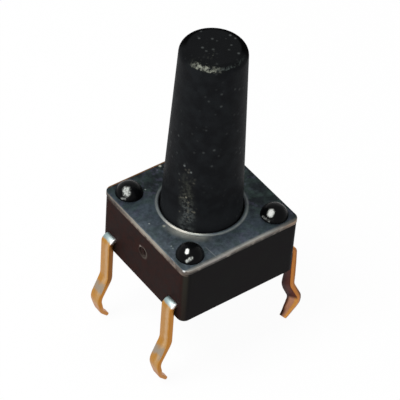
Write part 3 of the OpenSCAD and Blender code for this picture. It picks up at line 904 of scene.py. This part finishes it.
def housing_material():
    """Black, painted warm brown on the lit -X face, with the painted highlights and the scuff
    over it.
    """
    plastic, place = new_material("moulded_black_polyester")
    x, y, z = in_mm(plastic, place)
    clouds = add(plastic, "TexNoise", place, PER_MM / 0.8, 3, 0.55)
    cloudy = add(plastic, "MapRange", clouds, 0.35, 0.7)
    black = add(plastic, "Mix", cloudy, "#151414", "#191718")
    brown = add(plastic, "Mix", cloudy, "#241513", "#2b1916")
    mottle = add(plastic, "TexNoise", place, PER_MM / 0.3, 3, 0.7)
    mottle = add(plastic, "MapRange", mottle, 0.45, 0.65, 0, 0.7)
    brown = add(plastic, "Mix", mottle, brown, "#1d1716")
    # painted light: the -X face, which the light falls on, is warm brown, the rest black
    lit_gate_side = add(plastic, "MapRange", x, -2.75, -2.96)
    colour = add(plastic, "Mix", lit_gate_side, black, brown)
    # painted highlight along the near corner, most of all at its top
    aside = add(plastic, "Math", x, y, operation="SUBTRACT")
    corner = product(plastic, near(plastic, aside, 0, 0.05, 0.22),
                     add(plastic, "MapRange", x, -2.6, -2.8),
                     add(plastic, "MapRange", z, 0, 3.2, 0.4, 1.0))
    colour = add(plastic, "Mix", corner, colour, "#2a2823")
    # the upper edge under the cover, on the gate's side
    patches = add(plastic, "TexNoise", place, PER_MM / 0.25, 3, 0.6)
    scuff = product(plastic, lit_gate_side, add(plastic, "MapRange", z, 3.13, 3.2),
                    add(plastic, "MapRange", patches, 0.32, 0.6, 0.3, 1.0),
                    near(plastic, y, -0.6, 1.0, 3.0))
    colour = add(plastic, "Mix", scuff, colour, "#85776d")
    # the gate's rim with a painted highlight, strongest on its -Y side, and one painted glint
    # on it
    from_gate = mm_from(plastic, place, gate_place)
    rim = product(plastic, near(plastic, from_gate, gate_r, 0.02, 0.09),
                  add(plastic, "MapRange", patches, 0.3, 0.65, 0.4, 0.9),
                  add(plastic, "MapRange", y, 0.2, -0.1, 0.15, 0.9))
    colour = add(plastic, "Mix", rim, colour, "#5f5a53")
    glint_dot = add(plastic, "MapRange", mm_from(plastic, place, gate_glint_place), 0.13, 0.05)
    colour = add(plastic, "Mix", glint_dot, colour, "#7d706b")
    # the real grain is finer, and this is as coarse as it must be to show
    grain = add(plastic, "TexNoise", place, PER_MM / 0.06, 2, 0.6)
    surface = add(plastic, "BsdfPrincipled",
                  {"Base Color": colour, "Specular IOR Level": 0.025,
                   "Roughness": add(plastic, "MapRange", clouds, 0.3, 0.7, 0.5, 0.62),
                   "Normal": add(plastic, "Bump", {"Height": grain, "Distance": 0.004 * MM})})
    return finish_material(plastic, surface)


housing_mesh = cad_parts["base_housing"].data
housing_mesh.materials.clear()
housing_mesh.materials.append(housing_material())

# %% [markdown]
# Where the posts were melted the same plastic is glossy and pure black. It set in small
# crumples, and each head's broken glint is a painted highlight. The piece's own point values
# place it, because a lamp sharp enough to make it would light everything else too hard.

# %% Material: heads
def head_material():
    """Pure black, with the painted glint value broken up by the crumple and squared to a pale
    highlight.
    """
    plastic, place = new_material("melted_black_polyester")
    spot = add(plastic, "Attribute", attribute_name="spot").outputs["Fac"]
    crumple = add(plastic, "Math", add(plastic, "TexNoise", place, PER_MM / 0.1, 3, 0.65), 0.5,
                  operation="SUBTRACT")
    uneven = add(plastic, "Math", product(plastic, crumple, 2.0), 1.0, operation="ADD")
    lit = add(plastic, "MapRange", product(plastic, spot, uneven), 0.2, 1.0)
    lit = product(plastic, lit, lit)
    # painted glint: pale where the value is high, near white at its core
    colour = add(plastic, "Mix", lit, "#08090a", "#bcc0bb")
    colour = add(plastic, "Mix", add(plastic, "MapRange", spot, 0.9, 1.3), colour, "#fbfbf8")
    surface = add(plastic, "BsdfPrincipled",
                  {"Base Color": colour, "Specular IOR Level": 0.05,
                   "Roughness": add(plastic, "MapRange", lit, 0, 1, 0.25, 0.6),
                   "Normal": add(plastic, "Bump", {"Height": crumple, "Distance": 0.01 * MM})})
    return finish_material(plastic, surface)


head_piece.data.materials.append(head_material())

# %% [markdown]
# ### Acetal with a mould's grain
# The plunger is black acetal. Its colour is painted a little lighter near the cover, where
# the hole shades it, and darkest round the top, as shade on its rounded edge. The glints of
# its grain are painted as pale flecks. They are the cells of a Voronoi pattern, like the
# cover's pricks, and crowd on the back of the top.

# %% Plunger: flecks, the grain's painted glints
stem_top_z = plunger_high[2]
fleck_places = ((-1.512, -0.559, 6.9), (-1.381, -0.852, 6.68))


def flecks(acetal, place, size_mm, share, r, soft):
    """Round flecks in the given share of the cells, the grain's painted glints. A cell's colour
    says whether it has one, and how strong it is."""
    cells = add(acetal, "TexVoronoi", place, PER_MM / size_mm)
    dot = add(acetal, "MapRange", cells.outputs["Distance"], r + soft, r)
    chosen, strength = add(acetal, "SeparateXYZ", cells.outputs["Color"]).outputs[:2]
    return product(acetal, dot, add(acetal, "Math", chosen, share, operation="LESS_THAN"),
                   add(acetal, "MapRange", strength, 0, 1, 0.15, 1.0))


def flecked_black(acetal, place, z, backward):
    """Cloudy black, painted lighter low down and darker round the top, and the painted glints
    over it: some in all places, more on the top's back.
    """
    clouds = add(acetal, "MapRange", add(acetal, "TexNoise", place, PER_MM / 0.5, 3), 0.35, 0.7)
    colour = add(acetal, "Mix", clouds, "#131416", "#191b1d")
    # painted light: lighter low on the stem, where the cover's hole shades it
    colour = add(acetal, "Mix", add(acetal, "MapRange", z, 4.9, 3.7, 0, 0.8), colour, "#222426")
    # painted shade: darkest round the top and its rounded edge
    top = add(acetal, "MapRange", z, stem_top_z - 0.3, stem_top_z - 0.03, 0, 0.8)
    colour = add(acetal, "Mix", top, colour, "#0c0d0e")
    on_top = product(acetal, add(acetal, "MapRange", z, stem_top_z - 0.15, stem_top_z - 0.03),
                     add(acetal, "MapRange", backward, -0.9, 0.1))
    crowd = add(acetal, "TexNoise", place, PER_MM / 1.1, 2)
    crowd = product(acetal, add(acetal, "MapRange", crowd, 0.42, 0.6, 0.15, 1.0), 0.45)
    crowd = add(acetal, "Math", crowd, product(acetal, on_top, 0.7), operation="MAXIMUM")
    share = add(acetal, "MapRange", on_top, 0, 1, 0.4, 0.95)
    pale = product(acetal, flecks(acetal, place, 0.27, share, 0.06, 0.26), crowd)
    for fleck_place in fleck_places:
        dot = add(acetal, "MapRange", mm_from(acetal, place, fleck_place), 0.07, 0.03)
        pale = add(acetal, "Math", pale, dot, operation="MAXIMUM")
    return add(acetal, "Mix", pale, colour, "#595d5c")


# %% [markdown]
# Low on the stem's front left, a golden streak is painted as the stem's reflection of the
# floor: a haze with more flecks in it. It leans a little, because its angle changes with the
# height.

# %% Plunger: the golden streak, a painted reflection
def golden_reflection(acetal, colour, place, z, angle):
    """The colour with the painted reflection's haze over it, then its flecks."""
    # painted reflection, low on the stem's front left
    leaning = add(acetal, "Math", angle, add(acetal, "MapRange", z, 3.5, 7.5, 0, 7),
                  operation="ADD")
    streak = product(acetal, near(acetal, leaning, 32, 1, 16),
                     add(acetal, "MapRange", z, 7.4, 4.6))
    fine = add(acetal, "TexNoise", place, PER_MM / 0.17, 3, 0.75)
    coarse = add(acetal, "TexNoise", place, PER_MM / 0.45, 2)
    haze = product(acetal, streak, add(acetal, "MapRange", fine, 0.36, 0.62),
                   add(acetal, "MapRange", coarse, 0.4, 0.58, 0.25, 1.0))
    hazy = add(acetal, "Mix", add(acetal, "MapRange", z, 5.4, 4.4), "#44463f", "#595e5d")
    colour = add(acetal, "Mix", product(acetal, haze, 0.85), colour, hazy)
    golden = product(acetal, streak, flecks(acetal, place, 0.19, 0.6, 0.08, 0.34))
    return add(acetal, "Mix", golden, colour, "#949180")


# %% [markdown]
# The front left of the top's rounded edge carries a painted highlight, a bright arc, which
# thins out and fades towards -Y. Noise in its height makes it ragged.

# %% Plunger: the painted highlight arc
def arc_highlight(acetal, colour, place, z, angle):
    """The colour with the faint part of the painted highlight arc over it, then the bright
    part.
    """
    crumple = add(acetal, "TexNoise", place, PER_MM / 0.13, 3, 0.7)
    ragged = product(acetal, add(acetal, "Math", crumple, 0.5, operation="SUBTRACT"), 0.15)
    ragged = add(acetal, "Math", z, ragged, operation="ADD")
    # painted highlight along the top's rounded edge
    faint = product(acetal, near(acetal, ragged, stem_top_z - 0.08, 0.01, 0.05),
                    near(acetal, angle, 85, 15, 35),
                    add(acetal, "MapRange", crumple, 0.4, 0.62), 0.35)
    colour = add(acetal, "Mix", faint, colour, "#59625f")
    painted_edge_light = add(acetal, "TexNoise", place, PER_MM / 0.12, 3, 0.7)
    bright = product(acetal, near(acetal, ragged, stem_top_z - 0.11, 0.05, 0.05),
                     near(acetal, angle, 38, 6, 30), add(acetal, "MapRange", painted_edge_light, 0.38, 0.66))
    return add(acetal, "Mix", bright, colour, "#898c80")


# %% [markdown]
# At the back of the top, just inside the rounded edge, a line is painted blacker than the
# rest as shade, and it is rougher.

# %% Material: plunger
dull_r = stem_top_d / 2 - 0.26


def plunger_material():
    """Flecked black, then the painted dark line, the painted golden reflection and the painted
    highlight arc over it.
    """
    acetal, place = new_material("moulded_black_acetal")
    x, y, z = in_mm(acetal, place)
    radius, angle = polar(acetal, x, y)
    backward = add(acetal, "Math", x, y, operation="ADD")
    colour = flecked_black(acetal, place, z, backward)
    # painted shade: a black, rougher line at the back of the top
    dull = product(acetal, add(acetal, "MapRange", z, stem_top_z - 0.35, stem_top_z - 0.2),
                   add(acetal, "MapRange", radius, dull_r - 0.11, dull_r),
                   add(acetal, "MapRange", backward, -0.6, 0.3))
    colour = add(acetal, "Mix", product(acetal, dull, 0.95), colour, "#010101")
    colour = golden_reflection(acetal, colour, place, z, angle)
    colour = arc_highlight(acetal, colour, place, z, angle)
    # the real grain is finer, and this is as coarse as it must be to show
    grain = add(acetal, "TexNoise", place, PER_MM / 0.08, 2, 0.6)
    surface = add(acetal, "BsdfPrincipled",
                  {"Base Color": colour, "Specular IOR Level": 0.025,
                   "Roughness": add(acetal, "MapRange", dull, 0, 1, 0.55, 1.0),
                   "Normal": add(acetal, "Bump", {"Height": grain, "Distance": 0.006 * MM})})
    return finish_material(acetal, surface)


plunger_piece.data.materials.append(plunger_material())

# %% [markdown]
# ### Dull brass with a plated shoulder
# The legs are bright-rolled brass that has gone dull and golden. Each broad face is orange
# at its sides and paler along one of them, with fine lines from rolling. Handling left a
# grey bloom on the outside of the knee. The strip's own values place all this, because a
# mark along a bent strip has no simple place in X, Y and Z.

# %% Terminals: the broad faces
def broad_faces(brass, y, along, across, outer_left, uneven):
    """Colour of the broad faces, from rolling to the bloom and the darker tips. The lines
    are noise in millimetres, stretched along the strip."""
    pale = add(brass, "Math", across, product(brass, uneven, 0.8), operation="ADD")
    low = add(brass, "MapRange", along, 3.1, 3.8)
    faces = add(brass, "Mix", near(brass, pale, -0.45, 0.05, 0.55), "#c2883b",
                add(brass, "Mix", low, "#d3ac7f", "#c79550"))
    clouds = add(brass, "MapRange", uneven, -0.2, 0.2)
    faces = add(brass, "Mix", product(brass, clouds, 0.35), faces, "#bb8f4c")
    stretched = add(brass, "CombineXYZ", product(brass, along, 0.06), y)
    lines = add(brass, "TexNoise", stretched, 1 / 0.1, 3, 0.7)
    lines = product(brass, add(brass, "MapRange", lines, 0.36, 0.64), 0.3)
    faces = add(brass, "Mix", lines, faces, "#a06f35")
    bloom = add(brass, "Math", along, product(brass, uneven, 0.9), operation="ADD")
    bloom = product(brass, near(brass, bloom, 2.95, 0.03, 0.4), outer_left, 0.85)
    faces = add(brass, "Mix", bloom, faces, "#9c9589")
    tip = add(brass, "MapRange", along, 3.6, 4.3)
    return add(brass, "Mix", product(brass, tip, 0.95), faces, "#b26c10")


# %% [markdown]
# The +X legs aged in another way. Above the knee their inner faces are painted dark, as the
# shade and dark reflection of the housing, and are tarnished there too. Below it they are
# dark at the +Y edge, sooty at the tip, and rubbed bright at the -Y edge.

# %% Terminals: the +X legs' inner faces
def aged_faces(brass, faces, along, across, inner_right, tarnish):
    """The broad faces' colour with those marks over it."""
    faces = add(brass, "Mix", inner_right, faces, "#b07d62")
    rim = add(brass, "MapRange", across, 0.25, 0.75)
    faces = add(brass, "Mix", product(brass, rim, inner_right, 0.95), faces, "#3a1a10")
    rubbed = add(brass, "MapRange", across, -0.3, -0.62)
    faces = add(brass, "Mix", product(brass, rubbed, inner_right, 0.9), faces, "#c98d42")
    sooty = product(brass, add(brass, "MapRange", along, 4.4, 4.85),
                    add(brass, "MapRange", across, -0.4, 0.5))
    faces = add(brass, "Mix", product(brass, sooty, inner_right, 0.9), faces, "#160808")
    # painted shade: dark inner faces above the knee, shaded by the housing and reflecting it
    dull = add(brass, "Mix", add(brass, "MapRange", across, 0.6, -0.6), "#34100f", "#55261c")
    return add(brass, "Mix", tarnish, faces, dull)


# %% [markdown]
# The cut edges are more orange. On the +X legs their outer part is painted dark as shade, and
# the -X leg at +Y is browner above its knee.

# %% Terminals: the cut edges
def cut_edges(brass, y, along, outer, left, right):
    """Colour of the strip's edges."""
    edges = add(brass, "Mix", right, "#b3762c", "#c07a36")
    # painted shade on the outer part of the +X legs' edges
    dark = product(brass, add(brass, "MapRange", outer, 0.35, 0.9), right,
                   add(brass, "MapRange", along, 2.6, 3.6, 0.5, 0.95))
    edges = add(brass, "Mix", dark, edges, "#55300f")
    behind = add(brass, "MapRange", y, -0.1, 0.1)
    brown = product(brass, behind, left, add(brass, "MapRange", along, 2.9, 2.3))
    return add(brass, "Mix", brown, edges, "#84531f")


# %% [markdown]
# The strip was plated before it was bent, and the plating still shows on top of the -X
# shoulders, with a painted highlight at its -Y end. Above the knee the +X legs' inner faces
# are painted dark and tarnished. Tarnish is not metal any more, so where it lies the surface
# is duller and hardly metallic.

# %% Material: terminals
strip_values = ("along", "across", "cut_edge", "outer_face", "right_side")


def brass_material():
    """Broad faces and cut edges, with the plating over both."""
    brass, place = new_material("rolled_brass_strip")
    along, across, cut, outer, right = [
        add(brass, "Attribute", attribute_name=name).outputs["Fac"] for name in strip_values]
    y = in_mm(brass, place)[1]
    left = add(brass, "Math", 1.0, right, operation="SUBTRACT")
    outer_left = product(brass, outer, left)
    inner_right = product(brass, add(brass, "Math", 1.0, outer, operation="SUBTRACT"), right)
    uneven = add(brass, "Math", add(brass, "TexNoise", place, PER_MM / 0.3, 3, 0.6), 0.5,
                 operation="SUBTRACT")
    # painted shade and tarnish: the +X legs' inner faces above the knee
    tarnish = product(brass, inner_right, add(brass, "MapRange", along, 3.9, 3.5))
    faces = broad_faces(brass, y, along, across, outer_left, uneven)
    faces = aged_faces(brass, faces, along, across, inner_right, tarnish)
    # an outer face takes the edges' colour further in on the right legs
    wide = product(brass, right, add(brass, "MapRange", cut, 0.05, 0.3), outer)
    edge_share = add(brass, "Math", add(brass, "MapRange", cut, 0.35, 0.8), wide,
                     operation="MAXIMUM")
    edges = cut_edges(brass, y, along, outer, left, right)
    colour = add(brass, "Mix", edge_share, faces, edges)
    plated = add(brass, "Math", along, product(brass, uneven, 0.12), operation="ADD")
    plated = product(brass, add(brass, "MapRange", plated, 0.24, 0.17), outer_left)
    plating = add(brass, "Mix", add(brass, "MapRange", across, 0.6, -0.8), "#8fa2a2",
                  "#c3d0d0")
    # painted highlight: the plating turns white at its -Y end
    plating = add(brass, "Mix", add(brass, "MapRange", across, -0.72, -0.95), plating,
                  "#ffffff")
    colour = add(brass, "Mix", plated, colour, plating)
    # the real grain is finer, and this is as coarse as it must be to show
    grain = add(brass, "TexNoise", place, PER_MM / 0.07, 3, 0.6)
    surface = add(brass, "BsdfPrincipled",
                  {"Base Color": colour, "Specular IOR Level": 0.1,
                   "Metallic": add(brass, "MapRange", tarnish, 0, 1, 1, 0.1),
                   "Roughness": add(brass, "MapRange", tarnish, 0, 1, 0.38, 0.6),
                   "Normal": add(brass, "Bump", {"Height": grain, "Distance": 0.003 * MM})})
    return finish_material(brass, surface)


terminal_material = brass_material()
centre_piece.data.materials.append(terminal_material)
rim_piece.data.materials.append(terminal_material)

# %% [markdown]
# ### Stainless steel and polyimide, inside the housing
# The snap dome is bright stainless strip, and the film over it is clear amber. Neither shows
# from outside, so a plain finish with one noise each is enough.

# %% Materials: dome and film
def dome_material():
    """Bright metal whose roughness wanders a little."""
    steel, place = new_material("bright_stainless_strip")
    dullness = add(steel, "TexNoise", place, PER_MM / 0.2)
    surface = add(steel, "BsdfPrincipled",
                  {"Base Color": "#c6c7c8", "Metallic": 1.0,
                   "Roughness": add(steel, "MapRange", dullness, 0.3, 0.7, 0.2, 0.3)})
    return finish_material(steel, surface)


def film_material():
    """Clear amber in two shades, which lets the dome show through."""
    film, place = new_material("amber_polyimide_film")
    clouds = add(film, "TexNoise", place, PER_MM / 0.5)
    amber = add(film, "Mix", clouds, "#b8741c", "#c98224")
    surface = add(film, "BsdfPrincipled",
                  {"Base Color": amber, "Roughness": 0.15, "Alpha": 0.7})
    return finish_material(film, surface)


dome_piece.data.materials.append(dome_material())
film_piece.data.materials.append(film_material())

# %% [markdown]
# ## Floor, light and background
# The switch stands on its leg tips on a white floor, 1.2 m wide, under a white sky. What the
# camera, mirrors and glass see of both is plain white, and the floor keeps a soft shadow.
# The light itself is a softbox above and to the left, with a weaker one in front.

# %% Floor
floor_z, floor_half = cad_low[2], 0.6
floor_mesh = bpy.data.meshes.new("floor")
floor_mesh.from_pydata([(x * floor_half, y * floor_half, floor_z)
                        for x, y in ((-1, -1), (1, -1), (1, 1), (-1, 1))], [], [(0, 1, 2, 3)])
floor = bpy.data.objects.new("floor", floor_mesh)
bpy.context.scene.collection.objects.link(floor)


def shown_white(owner, shaded, share):
    """Shader that camera, glossy and transmission rays see as white by that share."""
    rays = add(owner, "LightPath").outputs
    seen = add(owner, "Math", rays["Is Camera Ray"], rays["Is Glossy Ray"], operation="MAXIMUM")
    seen = add(owner, "Math", seen, rays["Is Transmission Ray"], operation="MAXIMUM")
    light = "Emission" if isinstance(owner, bpy.types.Material) else "Background"
    white = add(owner, light, "#ffffff", 1.0)
    return add(owner, "MixShader", product(owner, seen, share), shaded, white)


floor_material = bpy.data.materials.new("white_paper")
floor_material.use_nodes = True
floor_material.node_tree.nodes.clear()
paper = add(floor_material, "BsdfDiffuse", (0.9, 0.9, 0.9, 1))
finish_material(floor_material, shown_white(floor_material, paper, 0.95))
floor_mesh.materials.append(floor_material)

# %% Sky
world = bpy.data.worlds.new("white_studio")
bpy.context.scene.world = world
world.use_nodes = True
world.node_tree.nodes.clear()
sky = add(world, "Background", "#ffffff", 0.6)
add(world, "OutputWorld", shown_white(world, sky, 1.0))


# %% Softboxes
def softbox(name, direction, distance_mm, size_mm, watts):
    """A square area lamp that faces the middle of the part."""
    lamp = bpy.data.lights.new(name, "AREA")
    lamp.size = size_mm * MM
    lamp.energy = watts
    holder = bpy.data.objects.new(name, lamp)
    bpy.context.scene.collection.objects.link(holder)
    aim = Vector((0, 0, cover_top_z)) * MM
    way = Vector(direction).normalized()
    holder.location = aim + way * distance_mm * MM
    holder.rotation_euler = way.to_track_quat("Z", "Y").to_euler()


softbox("key_softbox", (-0.454, 0.068, 0.889), 120, 45, 0.09)
softbox("front_softbox", (-0.76, -0.65, 0.15), 150, 30, 0.02)

bpy.context.scene.view_settings.view_transform = "Standard"
